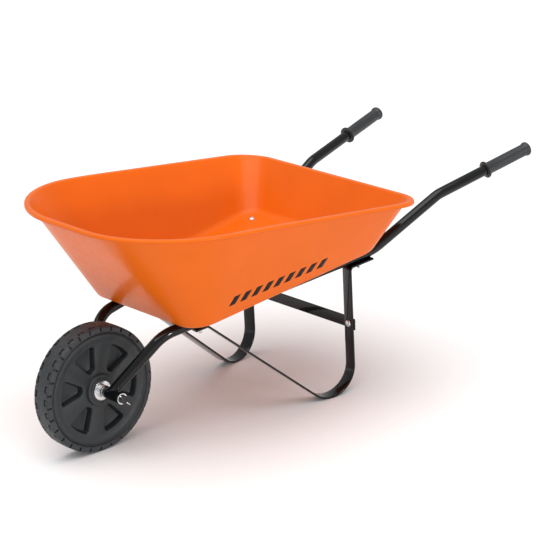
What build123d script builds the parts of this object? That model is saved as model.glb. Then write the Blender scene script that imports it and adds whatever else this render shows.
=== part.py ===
"""Child-size wheelbarrow: pressed steel tray, two bent tubes, two strap legs and one wheel.

Millimetres. +X points forward, towards the wheel, +Y to the left and +Z up. The origin is on the
ground under the middle of the overall length. "back" is a distance behind the axle.
"""

import os
from math import asin, atan, atan2, cos, degrees, hypot, pi, radians, sin, tan

from build123d import *

# ---- Overall sizes -------------------------------------------------------------------------
OVERALL_LENGTH = 1131.0
TRAY_WIDTH = 544.0
WHEEL_RADIUS = 127.0

# ---- Frame tubes ---------------------------------------------------------------------------
TUBE_RADIUS = 11.1
TUBE_WALL = 1.5
AXLE_END_SPREAD = 54.0
FRONT_BEND_BACK = 104.0
FRONT_BEND_SPREAD = 94.7
FRONT_BEND_HEIGHT = 228.0
FRONT_BEND_RADIUS = 68.0
REAR_BEND_BACK = 598.0
REAR_BEND_HEIGHT = 289.0
REAR_BEND_RADIUS = 120.0
HANDLE_BEND_BACK = 764.5
HANDLE_BEND_HEIGHT = 371.0
HANDLE_BEND_RADIUS = 80.0
HANDLE_END_SPREAD = 225.0
HANDLE_END_HEIGHT = 423.5

# ---- Axle line -----------------------------------------------------------------------------
AXLE_RADIUS = 8.0
AXLE_CLEARANCE = 0.05
SLEEVE_OUTER_FACE = 90.5
SPACER_LENGTH = 12.0
SPACER_WALL = 4.5
WASHER_BAND = 11.5
WASHER_THICKNESS = 2.0
HUB_PLAY = 0.3
AXLE_PAST_SLEEVE = 8.0
AXLE_CHAMFER = 1.0
COTTER_RADIUS = 1.6
COTTER_EYE_RADIUS = 2.6
COTTER_EYE_GAP = 1.0
COTTER_LEG_PAST = 7.0
COTTER_TILT = 40.0

# ---- Wheel ---------------------------------------------------------------------------------
WHEEL_WIDTH = 45.4
TYRE_DEPTH = 13.0
TYRE_BASE_GROOVE = 2.0
TYRE_EDGE_RADIUS = 7.0
TREAD_BLOCKS = 30
TREAD_DEPTH = 3.5
TREAD_GAP_SHARE = 0.22
TREAD_FIRST_ANGLE = 45.0
TREAD_REACH = 13.62
RIM_BAND = 19.0
DISC_FACE_DEPTH = 3.0
HUB_RADIUS = 32.5
HUB_HALF_LENGTH = 26.0
SPOKES = 6
SPOKE_FIRST_ANGLE = 40.0
POCKET_RIM_MARGIN = 2.0
POCKET_DEPTH = 15.0
SPOKE_INNER_WIDTH = 10.0
SPOKE_OUTER_WIDTH = 40.0
SPOKE_PAST_POCKET = 10.0
POCKET_CORNER = 5.0

# ---- Tray ----------------------------------------------------------------------------------
SHEET = 0.9
FLANGE_WIDTH = 13.0
LIP_DEPTH = 7.0
FLOOR_FRONT_BACK = 127.5
FLOOR_REAR_BACK = 588.0
FLOOR_FRONT_WIDTH = 336.0
FLOOR_REAR_WIDTH = 398.0
FLOOR_FRONT_CORNER = 50.0
FLOOR_REAR_CORNER = 40.0
FLOOR_EDGE_RADIUS = 14.0
WALL_LEAN_FACTOR = 1.25
TRAY_SEAT_GAP = 0.1
RIM_FRONT_AHEAD = 42.0
RIM_REAR_BACK = 659.0
RIM_REAR_HEIGHT = 401.0
RIM_RISE = 0.116
RIM_FRONT_CORNER = 217.0
RIM_REAR_CORNER = 74.0
RIM_LEVEL_BACK = 250.0
RIM_FRONT_DROP = 15.0
WALL_TOP_DROP = 12.0
RIM_PAST_REAR = 100.0
RIM_PAST_FRONT = 40.0

# ---- Legs and brace ------------------------------------------------------------------------
STRAP_WIDTH = 28.0
STRAP_THICKNESS = 4.0
LEG_FRONT_END_BACK = 170.0
LEG_FRONT_BEND_BACK = 198.0
LEG_REAR_BACK = 534.0
LEG_FLANGE_END_BACK = 590.0
LEG_FOOT_RADIUS = 58.0
LEG_BEND_RADIUS = 9.0
BRACE_HEIGHT = 145.5
BRACE_WIDTH = 24.0
BRACE_THICKNESS = 3.0
BRACE_TAB = 34.0
BRACE_END_PAST = 1.0

# ---- Fasteners -----------------------------------------------------------------------------
BOLT_RADIUS = 3.2
BOLT_HOLE_CLEARANCE = 0.3
BOLT_HEAD_RADIUS = 7.5
BOLT_HEAD_HEIGHT = 3.6
BOLT_CROWN_SHARE = 0.7
NUT_ACROSS_FLATS = 11.1
NUT_HEIGHT = 5.6
FLAT_WASHER_RADIUS = 7.0
FLAT_WASHER_THICKNESS = 1.5
STUD_PAST_NUT = 3.5
FRONT_BOLT_BACK = 184.0
REAR_BOLT_BACK = 560.0

# ---- Grips ---------------------------------------------------------------------------------
GRIP_LENGTH = 120.0
GRIP_WALL = 1.7
GRIP_BORE_CLEARANCE = 0.05
GRIP_FLANGE_HEIGHT = 5.5
GRIP_FLANGE_THICKNESS = 6.0
GRIP_BULGE_HEIGHT = 2.2
GRIP_END_CHAMFER = 4.0
GRIP_BULGE_LENGTH = 12.0
GRIP_BULGE_TAPER = 5.0
GRIP_CAP = 4.0

# ---- Worked out from the sizes above -------------------------------------------------------
GRIP_RADIUS = TUBE_RADIUS + GRIP_WALL
GRIP_FLANGE_RADIUS = GRIP_RADIUS + GRIP_FLANGE_HEIGHT
GRIP_BULGE_RADIUS = GRIP_RADIUS + GRIP_BULGE_HEIGHT
GRIP_END_RADIUS = GRIP_BULGE_RADIUS - GRIP_END_CHAMFER
RIM_RADIUS = WHEEL_RADIUS - TYRE_DEPTH
POCKET_OUTER_RADIUS = RIM_RADIUS - RIM_BAND - POCKET_RIM_MARGIN
AXLE_X = OVERALL_LENGTH / 2 - WHEEL_RADIUS
HANDLE_SLOPE = (HANDLE_END_HEIGHT - HANDLE_BEND_HEIGHT) / (
    OVERALL_LENGTH - WHEEL_RADIUS - HANDLE_BEND_BACK
)
HANDLE_END_BACK = OVERALL_LENGTH - WHEEL_RADIUS - GRIP_END_RADIUS * sin(atan(HANDLE_SLOPE))
PLAN_SLOPE = (HANDLE_END_SPREAD - FRONT_BEND_SPREAD) / (HANDLE_END_BACK - FRONT_BEND_BACK)
PLAN_ANGLE = degrees(atan(PLAN_SLOPE))
FLOOR_RISE = (REAR_BEND_HEIGHT - FRONT_BEND_HEIGHT) / (REAR_BEND_BACK - FRONT_BEND_BACK)
FLOOR_TILT = degrees(atan(FLOOR_RISE))
RIM_TILT = degrees(atan(RIM_RISE))
BOLT_HOLE_RADIUS = BOLT_RADIUS + BOLT_HOLE_CLEARANCE
WASHER_INNER_FACE = HUB_HALF_LENGTH + HUB_PLAY
SPACER_INNER_FACE = WASHER_INNER_FACE + WASHER_THICKNESS
SLEEVE_INNER_FACE = SPACER_INNER_FACE + SPACER_LENGTH
AXLE_HALF_LENGTH = SLEEVE_OUTER_FACE + AXLE_PAST_SLEEVE
AXLE_HOLE_RADIUS = AXLE_RADIUS + AXLE_CLEARANCE
FLANGE_TWIST = FLAT_WASHER_RADIUS * tan(radians(FLOOR_TILT)) * sin(radians(PLAN_ANGLE))
BEYOND = 2000.0


def spread(back):
    """Distance of a tube's centre line from the middle plane, behind the front bend."""
    return FRONT_BEND_SPREAD + PLAN_SLOPE * (back - FRONT_BEND_BACK)


def tube_height(back):
    """Height of the tubes' centre line along the straight run under the tray."""
    return FRONT_BEND_HEIGHT + FLOOR_RISE * (back - FRONT_BEND_BACK)


def place(back, side, height):
    """A point given by its distance behind the axle."""
    return Vector(AXLE_X - back, side, height)


AXLE_CENTRE = place(0, 0, WHEEL_RADIUS)
HANDLE_BEND = place(HANDLE_BEND_BACK, spread(HANDLE_BEND_BACK), HANDLE_BEND_HEIGHT)
HANDLE_END = place(HANDLE_END_BACK, HANDLE_END_SPREAD, HANDLE_END_HEIGHT)
HANDLE_DIRECTION = (HANDLE_END - HANDLE_BEND).normalized()
FLOOR_NORMAL = Vector(sin(radians(FLOOR_TILT)), 0, cos(radians(FLOOR_TILT)))
FLOOR_ALONG = Vector(cos(radians(FLOOR_TILT)), 0, -sin(radians(FLOOR_TILT)))


def axle_plane(side):
    """Plane square to the axle, at a distance to the left, with its normal to the left."""
    return Plane(origin=AXLE_CENTRE + Vector(0, side, 0), x_dir=(1, 0, 0), z_dir=(0, 1, 0))


def seat_plane(back, side, above):
    """Plane parallel to the tray floor, above the tubes' centre line by a given distance."""
    origin = place(back, side, tube_height(back)) + FLOOR_NORMAL * above
    return Plane(origin=origin, x_dir=FLOOR_ALONG, z_dir=FLOOR_NORMAL)


def mirrored(part, name):
    """The same piece on the other side of the middle plane."""
    other = mirror(part, about=Plane.XZ)
    other.label = name
    return other


def save(part):
    export_step(part, f"parts/{part.label}.step")


os.makedirs("parts", exist_ok=True)

# ---- Frame tubes: one bent tube each side, coped over its axle sleeve -----------------------
TUBE_POINTS = [
    place(0, AXLE_END_SPREAD, WHEEL_RADIUS),
    place(FRONT_BEND_BACK, FRONT_BEND_SPREAD, FRONT_BEND_HEIGHT),
    place(REAR_BEND_BACK, spread(REAR_BEND_BACK), REAR_BEND_HEIGHT),
    HANDLE_BEND,
    HANDLE_END - HANDLE_DIRECTION * GRIP_CAP,
]
BEND_RADII = [FRONT_BEND_RADIUS, REAR_BEND_RADIUS, HANDLE_BEND_RADIUS]
BOLT_BACKS = [FRONT_BOLT_BACK, REAR_BOLT_BACK]

with BuildPart() as tube_left:
    with BuildLine() as tube_path:
        FilletPolyline(*TUBE_POINTS, radius=BEND_RADII)
    with BuildSketch(Plane(origin=tube_path.line @ 0, z_dir=tube_path.line % 0)):
        Circle(TUBE_RADIUS)
        Circle(TUBE_RADIUS - TUBE_WALL, mode=Mode.SUBTRACT)
    sweep()
    with BuildSketch(axle_plane(SLEEVE_INNER_FACE)):
        Circle(TUBE_RADIUS)
    extrude(amount=SLEEVE_OUTER_FACE - SLEEVE_INNER_FACE, mode=Mode.SUBTRACT)
    for bolt_back in BOLT_BACKS:
        with BuildSketch(seat_plane(bolt_back, spread(bolt_back), 0)):
            Circle(BOLT_HOLE_RADIUS)
        extrude(amount=2 * TUBE_RADIUS, both=True, mode=Mode.SUBTRACT)
tube_left.part = Part(tube_left.part.solids().sort_by(SortBy.VOLUME)[-1].wrapped)
tube_left.part.label = "frame_tube_left"
save(tube_left.part)
save(mirrored(tube_left.part, "frame_tube_right"))

# ---- Axle sleeves: short tubes that the frame tubes are welded to ---------------------------
with BuildPart() as sleeve_left:
    with BuildSketch(axle_plane(SLEEVE_INNER_FACE)):
        Circle(TUBE_RADIUS)
        Circle(AXLE_HOLE_RADIUS, mode=Mode.SUBTRACT)
    extrude(amount=SLEEVE_OUTER_FACE - SLEEVE_INNER_FACE)
sleeve_left.part.label = "axle_sleeve_left"
save(sleeve_left.part)
save(mirrored(sleeve_left.part, "axle_sleeve_right"))

# ---- Axle: a plain bar, cross drilled for a cotter pin at each end --------------------------
COTTER_Y = SLEEVE_OUTER_FACE + AXLE_PAST_SLEEVE / 2
COTTER_TOP = AXLE_RADIUS + COTTER_EYE_GAP
COTTER_AXIS = Vector(-sin(radians(COTTER_TILT)), 0, -cos(radians(COTTER_TILT)))


def cotter_plane(side, along):
    """Plane square to a cotter pin, some way along it from the axle's centre line."""
    origin = AXLE_CENTRE + Vector(0, side, 0) + COTTER_AXIS * along
    return Plane(origin=origin, x_dir=(0, 1, 0), z_dir=COTTER_AXIS)


with BuildPart() as axle:
    with BuildSketch(axle_plane(-AXLE_HALF_LENGTH)):
        Circle(AXLE_RADIUS)
    extrude(amount=2 * AXLE_HALF_LENGTH)
    chamfer(axle.edges().filter_by(GeomType.CIRCLE), AXLE_CHAMFER)
    for side in (COTTER_Y, -COTTER_Y):
        with BuildSketch(cotter_plane(side, 0)):
            Circle(COTTER_RADIUS)
        extrude(amount=2 * AXLE_RADIUS, both=True, mode=Mode.SUBTRACT)
axle.part.label = "axle"
save(axle.part)

# ---- Cotter pins: a plain shank through the axle with a round eye on top --------------------
with BuildPart() as cotter_left:
    with BuildSketch(cotter_plane(COTTER_Y, -COTTER_TOP)):
        Circle(COTTER_RADIUS)
    extrude(amount=2 * COTTER_TOP + COTTER_LEG_PAST)
    with BuildSketch(cotter_plane(COTTER_Y, -COTTER_TOP - COTTER_EYE_RADIUS)):
        Circle(COTTER_EYE_RADIUS)
    extrude(amount=COTTER_EYE_RADIUS)
cotter_left.part.label = "cotter_pin_left"
save(cotter_left.part)
save(mirrored(cotter_left.part, "cotter_pin_right"))

# ---- Axle washers and spacers beside the hub ------------------------------------------------
for label, inner_face, length, radius in (
    ("axle_washer", WASHER_INNER_FACE, WASHER_THICKNESS, AXLE_RADIUS + WASHER_BAND),
    ("axle_spacer", SPACER_INNER_FACE, SPACER_LENGTH, AXLE_RADIUS + SPACER_WALL),
):
    with BuildPart() as ring:
        with BuildSketch(axle_plane(inner_face)):
            Circle(radius)
            Circle(AXLE_HOLE_RADIUS, mode=Mode.SUBTRACT)
        extrude(amount=length)
    ring.part.label = label + "_left"
    save(ring.part)
    save(mirrored(ring.part, label + "_right"))

# ---- Wheel disc: rim band, web with six blind pockets a side, hub ---------------------------
HALF_WIDTH = WHEEL_WIDTH / 2
FACE = HALF_WIDTH - DISC_FACE_DEPTH
WHEEL_SECTION = Plane(origin=AXLE_CENTRE, x_dir=(1, 0, 0), z_dir=(0, 0, 1))

with BuildPart() as wheel_disc:
    with BuildSketch(WHEEL_SECTION):
        with BuildLine():
            Polyline(
                (AXLE_HOLE_RADIUS, -HUB_HALF_LENGTH),
                (HUB_RADIUS, -HUB_HALF_LENGTH),
                (HUB_RADIUS, -FACE),
                (RIM_RADIUS - RIM_BAND, -FACE),
                (RIM_RADIUS - RIM_BAND / 2, -HALF_WIDTH),
                (RIM_RADIUS, -HALF_WIDTH + TYRE_BASE_GROOVE),
                (RIM_RADIUS, HALF_WIDTH - TYRE_BASE_GROOVE),
                (RIM_RADIUS - RIM_BAND / 2, HALF_WIDTH),
                (RIM_RADIUS - RIM_BAND, FACE),
                (HUB_RADIUS, FACE),
                (HUB_RADIUS, HUB_HALF_LENGTH),
                (AXLE_HOLE_RADIUS, HUB_HALF_LENGTH),
                close=True,
            )
        make_face()
    revolve(axis=Axis(AXLE_CENTRE, (0, 1, 0)))
    for face_side in (1, -1):
        with BuildSketch(axle_plane(face_side * (FACE - POCKET_DEPTH))) as pockets:
            Circle(POCKET_OUTER_RADIUS)
            Circle(HUB_RADIUS + POCKET_CORNER, mode=Mode.SUBTRACT)
            with PolarLocations(0, SPOKES, start_angle=-SPOKE_FIRST_ANGLE):
                Polygon(
                    (0, -SPOKE_INNER_WIDTH / 2),
                    (POCKET_OUTER_RADIUS + SPOKE_PAST_POCKET, -SPOKE_OUTER_WIDTH / 2),
                    (POCKET_OUTER_RADIUS + SPOKE_PAST_POCKET, SPOKE_OUTER_WIDTH / 2),
                    (0, SPOKE_INNER_WIDTH / 2),
                    align=None,
                    mode=Mode.SUBTRACT,
                )
            fillet(pockets.vertices(), POCKET_CORNER)
        extrude(amount=face_side * (POCKET_DEPTH + DISC_FACE_DEPTH), mode=Mode.SUBTRACT)
wheel_disc.part.label = "wheel_disc"
save(wheel_disc.part)

# ---- Tyre: solid rubber band with cross grooves in both shoulders ---------------------------
with BuildPart() as tyre:
    with BuildSketch(WHEEL_SECTION):
        with BuildLine():
            Polyline(
                (RIM_RADIUS, -HALF_WIDTH + TYRE_BASE_GROOVE),
                (RIM_RADIUS, HALF_WIDTH - TYRE_BASE_GROOVE),
                (WHEEL_RADIUS - TYRE_EDGE_RADIUS, HALF_WIDTH),
                (WHEEL_RADIUS, HALF_WIDTH - TYRE_EDGE_RADIUS),
                (WHEEL_RADIUS, -HALF_WIDTH + TYRE_EDGE_RADIUS),
                (WHEEL_RADIUS - TYRE_EDGE_RADIUS, -HALF_WIDTH),
                close=True,
            )
        make_face()
    revolve(axis=Axis(AXLE_CENTRE, (0, 1, 0)))
    groove_width = TREAD_GAP_SHARE * 2 * pi * WHEEL_RADIUS / TREAD_BLOCKS
    for face_side in (1, -1):
        with BuildSketch(axle_plane(face_side * HALF_WIDTH)):
            first_angle = TREAD_FIRST_ANGLE * face_side
            with PolarLocations(WHEEL_RADIUS, TREAD_BLOCKS, start_angle=first_angle):
                Rectangle(2 * TREAD_DEPTH, groove_width)
        extrude(amount=-face_side * TREAD_REACH, mode=Mode.SUBTRACT)
tyre.part.label = "tyre"
save(tyre.part)


# ---- Tray: pressed sheet with a flat flange and a turned-down lip ---------------------------
def outline(plane, rear, front, half_rear, half_front, rear_corner, front_corner):
    """Four-sided outline with rounded corners, symmetric about the plane's x axis."""
    with BuildSketch(plane) as sketch:
        with BuildLine():
            Polyline(
                (rear, -half_rear),
                (front, -half_front),
                (front, half_front),
                (rear, half_rear),
                close=True,
            )
        make_face()
        corners = sketch.vertices().sort_by(Axis.X)
        fillet(corners[:2], rear_corner)
        corners = sketch.vertices().sort_by(Axis.X)
        fillet(corners[-2:], front_corner)
    return sketch.sketch


FLOOR_SCALE = 1 / cos(radians(FLOOR_TILT))
RIM_SCALE = 1 / cos(radians(RIM_TILT))
RIM_PLANE = Plane(
    origin=place(0, 0, RIM_REAR_HEIGHT + RIM_RISE * RIM_REAR_BACK),
    x_dir=(cos(radians(RIM_TILT)), 0, sin(radians(RIM_TILT))),
    z_dir=(-sin(radians(RIM_TILT)), 0, cos(radians(RIM_TILT))),
)
WALL_TOP_FRONT = RIM_FRONT_AHEAD - FLANGE_WIDTH + WALL_TOP_DROP


def floor_outline(inset):
    """Outline of the tray's floor, moved in from the outside of the sheet and up with it."""
    lift = 0 if inset == 0 else SHEET
    return outline(
        seat_plane(0, 0, TUBE_RADIUS + TRAY_SEAT_GAP + lift),
        -FLOOR_REAR_BACK * FLOOR_SCALE + inset,
        -FLOOR_FRONT_BACK * FLOOR_SCALE - inset,
        FLOOR_REAR_WIDTH / 2 - inset,
        FLOOR_FRONT_WIDTH / 2 - inset,
        FLOOR_REAR_CORNER - inset,
        FLOOR_FRONT_CORNER - inset,
    )


def wall_top_outline(inset):
    """Outline of the tray's walls at the rim's level."""
    return outline(
        RIM_PLANE,
        -(RIM_REAR_BACK - FLANGE_WIDTH) * RIM_SCALE + inset,
        WALL_TOP_FRONT * RIM_SCALE - inset,
        TRAY_WIDTH / 2 - FLANGE_WIDTH - inset,
        TRAY_WIDTH / 2 - FLANGE_WIDTH - inset,
        RIM_REAR_CORNER - FLANGE_WIDTH - inset,
        RIM_FRONT_CORNER - FLANGE_WIDTH - inset,
    )


def bowl(inset, edge_radius):
    """Solid between the floor's outline and the rim's, with a rounded bottom edge."""
    with BuildPart() as solid:
        add(floor_outline(inset))
        add(wall_top_outline(inset))
        loft(ruled=True)
        bottom = solid.faces().sort_by(lambda face: face.center().Z)[0]
        fillet(bottom.edges(), edge_radius)
    return solid.part


def rim_prism(inset):
    """Upright prism through the rim's outer outline."""
    rim_outline = outline(
        Plane(origin=place(0, 0, 0)),
        -RIM_REAR_BACK + inset,
        RIM_FRONT_AHEAD - inset,
        TRAY_WIDTH / 2 - inset,
        TRAY_WIDTH / 2 - inset,
        RIM_REAR_CORNER - inset,
        RIM_FRONT_CORNER - inset,
    )
    with BuildPart() as solid:
        add(rim_outline)
        extrude(amount=BEYOND / 2)
    return solid.part


def below_rim(drop):
    """Everything under the rim's level, which falls away in a large arc at the front."""
    rear = -RIM_REAR_BACK - RIM_PAST_REAR
    start = -RIM_LEVEL_BACK
    end = RIM_FRONT_AHEAD + RIM_PAST_FRONT
    level = RIM_REAR_HEIGHT + RIM_RISE * RIM_REAR_BACK - drop
    fall = RIM_FRONT_DROP * ((end - start) / (RIM_FRONT_AHEAD - start)) ** 2
    knee = (start, level + RIM_RISE * start)
    nose = (end, level + RIM_RISE * end - fall)
    with BuildPart() as solid:
        with BuildSketch(Plane(origin=place(0, BEYOND / 4, 0), x_dir=(1, 0, 0), z_dir=(0, -1, 0))):
            with BuildLine():
                Line((rear, level + RIM_RISE * rear), knee)
                TangentArc(knee, nose, tangent=(1, RIM_RISE))
                Polyline(nose, (end, 0), (rear, 0), (rear, level + RIM_RISE * rear))
            make_face()
        extrude(amount=BEYOND / 2)
    return solid.part


OUTSIDE = bowl(0, FLOOR_EDGE_RADIUS)
INSIDE = bowl(SHEET * WALL_LEAN_FACTOR, FLOOR_EDGE_RADIUS - SHEET)
RIM_TOP = below_rim(0)
FLANGE_BOTTOM = below_rim(SHEET)
LIP_BOTTOM = below_rim(LIP_DEPTH)
RIM_OUTSIDE = rim_prism(0)
RIM_INSIDE = rim_prism(SHEET)

with BuildPart() as lip:
    add(RIM_OUTSIDE)
    add(RIM_INSIDE, mode=Mode.SUBTRACT)
    add(RIM_TOP, mode=Mode.INTERSECT)
    add(LIP_BOTTOM, mode=Mode.SUBTRACT)

with BuildPart() as flange:
    add(RIM_OUTSIDE)
    add(RIM_TOP, mode=Mode.INTERSECT)
    add(FLANGE_BOTTOM, mode=Mode.SUBTRACT)
    add(INSIDE, mode=Mode.SUBTRACT)

with BuildPart() as tray:
    add(OUTSIDE)
    add(INSIDE, mode=Mode.SUBTRACT)
    add(RIM_TOP, mode=Mode.INTERSECT)
    add(flange.part)
    add(lip.part)
    for bolt_back in BOLT_BACKS:
        for side in (1, -1):
            with BuildSketch(seat_plane(bolt_back, side * spread(bolt_back), 0)):
                Circle(BOLT_HOLE_RADIUS)
            extrude(amount=2 * TUBE_RADIUS, mode=Mode.SUBTRACT)
tray.part.label = "tray"
save(tray.part)

# ---- Legs: one flat strap each side, bent into a triangle with a round foot -----------------
LEG_PLANE = Plane(
    origin=place(0, spread(0), 0),
    x_dir=Vector(-cos(radians(PLAN_ANGLE)), sin(radians(PLAN_ANGLE)), 0),
    z_dir=Vector(sin(radians(PLAN_ANGLE)), cos(radians(PLAN_ANGLE)), 0),
)
RUN = 1 / cos(radians(PLAN_ANGLE))
STRAP_DROP = (TUBE_RADIUS + STRAP_THICKNESS / 2) / cos(atan(FLOOR_RISE))


def strap_point(back):
    """Point on the strap's middle line where it lies flat under the tube."""
    return (back * RUN, tube_height(back) - STRAP_DROP)


def foot_corner():
    """Where the strap's slanted and upright runs would meet without the foot's bend."""
    start_x, start_z = strap_point(LEG_FRONT_BEND_BACK)
    upright = LEG_REAR_BACK * RUN
    centre_x = upright - LEG_FOOT_RADIUS
    centre_z = LEG_FOOT_RADIUS + STRAP_THICKNESS / 2
    reach = hypot(centre_x - start_x, start_z - centre_z)
    slope = atan2(start_z - centre_z, centre_x - start_x) + asin(LEG_FOOT_RADIUS / reach)
    return (upright, start_z - tan(slope) * (upright - start_x))


with BuildPart() as leg_left:
    with BuildLine(LEG_PLANE) as strap_line:
        FilletPolyline(
            strap_point(LEG_FRONT_END_BACK),
            strap_point(LEG_FRONT_BEND_BACK),
            foot_corner(),
            strap_point(LEG_REAR_BACK),
            strap_point(LEG_FLANGE_END_BACK),
            radius=[LEG_BEND_RADIUS, LEG_FOOT_RADIUS, LEG_BEND_RADIUS],
        )
    start = Plane(
        origin=strap_line.line @ 0,
        x_dir=LEG_PLANE.z_dir,
        z_dir=strap_line.line % 0,
    )
    with BuildSketch(start):
        Rectangle(STRAP_WIDTH, STRAP_THICKNESS)
    sweep()
    for bolt_back in BOLT_BACKS:
        with BuildSketch(seat_plane(bolt_back, spread(bolt_back), -TUBE_RADIUS)):
            Circle(BOLT_HOLE_RADIUS)
        extrude(amount=2 * STRAP_THICKNESS, both=True, mode=Mode.SUBTRACT)
    brace_hole = Plane(
        origin=place(LEG_REAR_BACK, spread(LEG_REAR_BACK), BRACE_HEIGHT),
        x_dir=LEG_PLANE.z_dir,
        z_dir=LEG_PLANE.x_dir,
    )
    with BuildSketch(brace_hole):
        Circle(BOLT_HOLE_RADIUS)
    extrude(amount=2 * STRAP_THICKNESS, both=True, mode=Mode.SUBTRACT)
leg_left.part.label = "leg_left"
save(leg_left.part)
save(mirrored(leg_left.part, "leg_right"))

# ---- Brace: flat bar between the legs, its ends turned to lie on the straps -----------------
TAB_CENTRE = brace_hole.origin + brace_hole.z_dir * (STRAP_THICKNESS + BRACE_THICKNESS) / 2
TAB_ALONG = LEG_PLANE.z_dir

with BuildPart() as brace:
    tab_end = TAB_CENTRE + TAB_ALONG * (STRAP_WIDTH / 2 + BRACE_END_PAST)
    tab_bend = TAB_CENTRE - TAB_ALONG * (BRACE_TAB - STRAP_WIDTH / 2)
    with BuildLine():
        FilletPolyline(
            tab_end,
            tab_bend,
            Vector(tab_bend.X, -tab_bend.Y, tab_bend.Z),
            Vector(tab_end.X, -tab_end.Y, tab_end.Z),
            radius=BRACE_TAB,
        )
    with BuildSketch(Plane(origin=tab_end, x_dir=(0, 0, 1), z_dir=tab_bend - tab_end)):
        Rectangle(BRACE_WIDTH, BRACE_THICKNESS)
    sweep()
    for turn in (1, -1):
        hole = Plane(
            origin=(TAB_CENTRE.X, turn * TAB_CENTRE.Y, TAB_CENTRE.Z),
            x_dir=(0, 0, 1),
            z_dir=(brace_hole.z_dir.X, turn * brace_hole.z_dir.Y, 0),
        )
        with BuildSketch(hole):
            Circle(BOLT_HOLE_RADIUS)
        extrude(amount=2 * BRACE_THICKNESS, both=True, mode=Mode.SUBTRACT)
brace.part.label = "leg_brace"
save(brace.part)


# ---- Fasteners ------------------------------------------------------------------------------
def bolt(head_seat, grip_length):
    """Dome-headed bolt: the plane is the head's seat, with its normal out of the head."""
    past = FLAT_WASHER_THICKNESS + NUT_HEIGHT + STUD_PAST_NUT
    with BuildPart() as piece:
        with BuildSketch(head_seat):
            Circle(BOLT_HEAD_RADIUS)
        extrude(amount=BOLT_HEAD_HEIGHT)
        crown = piece.faces().sort_by(Axis(head_seat.origin, head_seat.z_dir))[-1]
        fillet(crown.edges(), BOLT_HEAD_HEIGHT * BOLT_CROWN_SHARE)
        with BuildSketch(head_seat):
            Circle(BOLT_RADIUS)
        extrude(amount=-(grip_length + past))
    return piece.part


def flat_washer(seat):
    """Washer lying on a plane, on its normal's side."""
    with BuildPart() as piece:
        with BuildSketch(seat):
            Circle(FLAT_WASHER_RADIUS)
            Circle(BOLT_HOLE_RADIUS, mode=Mode.SUBTRACT)
        extrude(amount=FLAT_WASHER_THICKNESS)
    return piece.part


def nut(seat):
    """Hexagon nut lying on a plane, on its normal's side."""
    with BuildPart() as piece:
        with BuildSketch(seat):
            RegularPolygon(NUT_ACROSS_FLATS / 2, 6, major_radius=False)
            Circle(BOLT_RADIUS, mode=Mode.SUBTRACT)
        extrude(amount=NUT_HEIGHT)
    return piece.part


def opposite(plane, shift):
    """The plane turned to face the other way, moved along its new normal."""
    return Plane(origin=plane.origin - plane.z_dir * shift, x_dir=plane.x_dir, z_dir=-plane.z_dir)


def save_group(pieces, name):
    group = Compound(children=pieces, label=name)
    export_step(group, f"parts/{name}.step")


TRAY_SEATS = [
    seat_plane(bolt_back, side * spread(bolt_back), TUBE_RADIUS + TRAY_SEAT_GAP + SHEET)
    for bolt_back in BOLT_BACKS
    for side in (1, -1)
]
TRAY_STACK = SHEET + TRAY_SEAT_GAP + 2 * TUBE_RADIUS + STRAP_THICKNESS + FLANGE_TWIST
save_group([bolt(seat, TRAY_STACK) for seat in TRAY_SEATS], "tray_bolts")
save_group([flat_washer(opposite(seat, TRAY_STACK)) for seat in TRAY_SEATS], "tray_bolt_washers")
NUT_DROP = TRAY_STACK + FLAT_WASHER_THICKNESS
save_group([nut(opposite(seat, NUT_DROP)) for seat in TRAY_SEATS], "tray_bolt_nuts")

BRACE_STACK = STRAP_THICKNESS + BRACE_THICKNESS
BRACE_SEATS = [
    Plane(
        origin=(
            brace_hole.origin.X - brace_hole.z_dir.X * STRAP_THICKNESS / 2,
            turn * (brace_hole.origin.Y - brace_hole.z_dir.Y * STRAP_THICKNESS / 2),
            brace_hole.origin.Z,
        ),
        x_dir=(0, 0, 1),
        z_dir=(-brace_hole.z_dir.X, -turn * brace_hole.z_dir.Y, 0),
    )
    for turn in (1, -1)
]
save_group([bolt(seat, BRACE_STACK) for seat in BRACE_SEATS], "brace_bolts")
BRACE_WASHERS = [flat_washer(opposite(seat, BRACE_STACK)) for seat in BRACE_SEATS]
save_group(BRACE_WASHERS, "brace_bolt_washers")
BRACE_DROP = BRACE_STACK + FLAT_WASHER_THICKNESS
save_group([nut(opposite(seat, BRACE_DROP)) for seat in BRACE_SEATS], "brace_bolt_nuts")

# ---- Grips: moulded sleeves with a guard flange and a rounded, closed end -------------------
GRIP_PLANE = Plane(
    origin=HANDLE_END,
    x_dir=HANDLE_DIRECTION.cross(Vector(0, 0, 1)).cross(HANDLE_DIRECTION),
    z_dir=HANDLE_DIRECTION.cross(Vector(0, 0, 1)),
)

with BuildPart() as grip_left:
    bore = TUBE_RADIUS + GRIP_BORE_CLEARANCE
    with BuildSketch(GRIP_PLANE):
        with BuildLine():
            Polyline(
                (0, 0),
                (GRIP_END_RADIUS, 0),
                (GRIP_BULGE_RADIUS, GRIP_END_CHAMFER),
                (GRIP_BULGE_RADIUS, GRIP_BULGE_LENGTH),
                (GRIP_RADIUS, GRIP_BULGE_LENGTH + GRIP_BULGE_TAPER),
                (GRIP_RADIUS, GRIP_LENGTH - GRIP_FLANGE_THICKNESS),
                (GRIP_FLANGE_RADIUS, GRIP_LENGTH - GRIP_FLANGE_THICKNESS),
                (GRIP_FLANGE_RADIUS, GRIP_LENGTH),
                (bore, GRIP_LENGTH),
                (bore, GRIP_CAP),
                (0, GRIP_CAP),
                close=True,
            )
        make_face()
    revolve(axis=Axis(HANDLE_END, HANDLE_DIRECTION))
grip_left.part.label = "grip_left"
save(grip_left.part)
save(mirrored(grip_left.part, "grip_right"))
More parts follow.
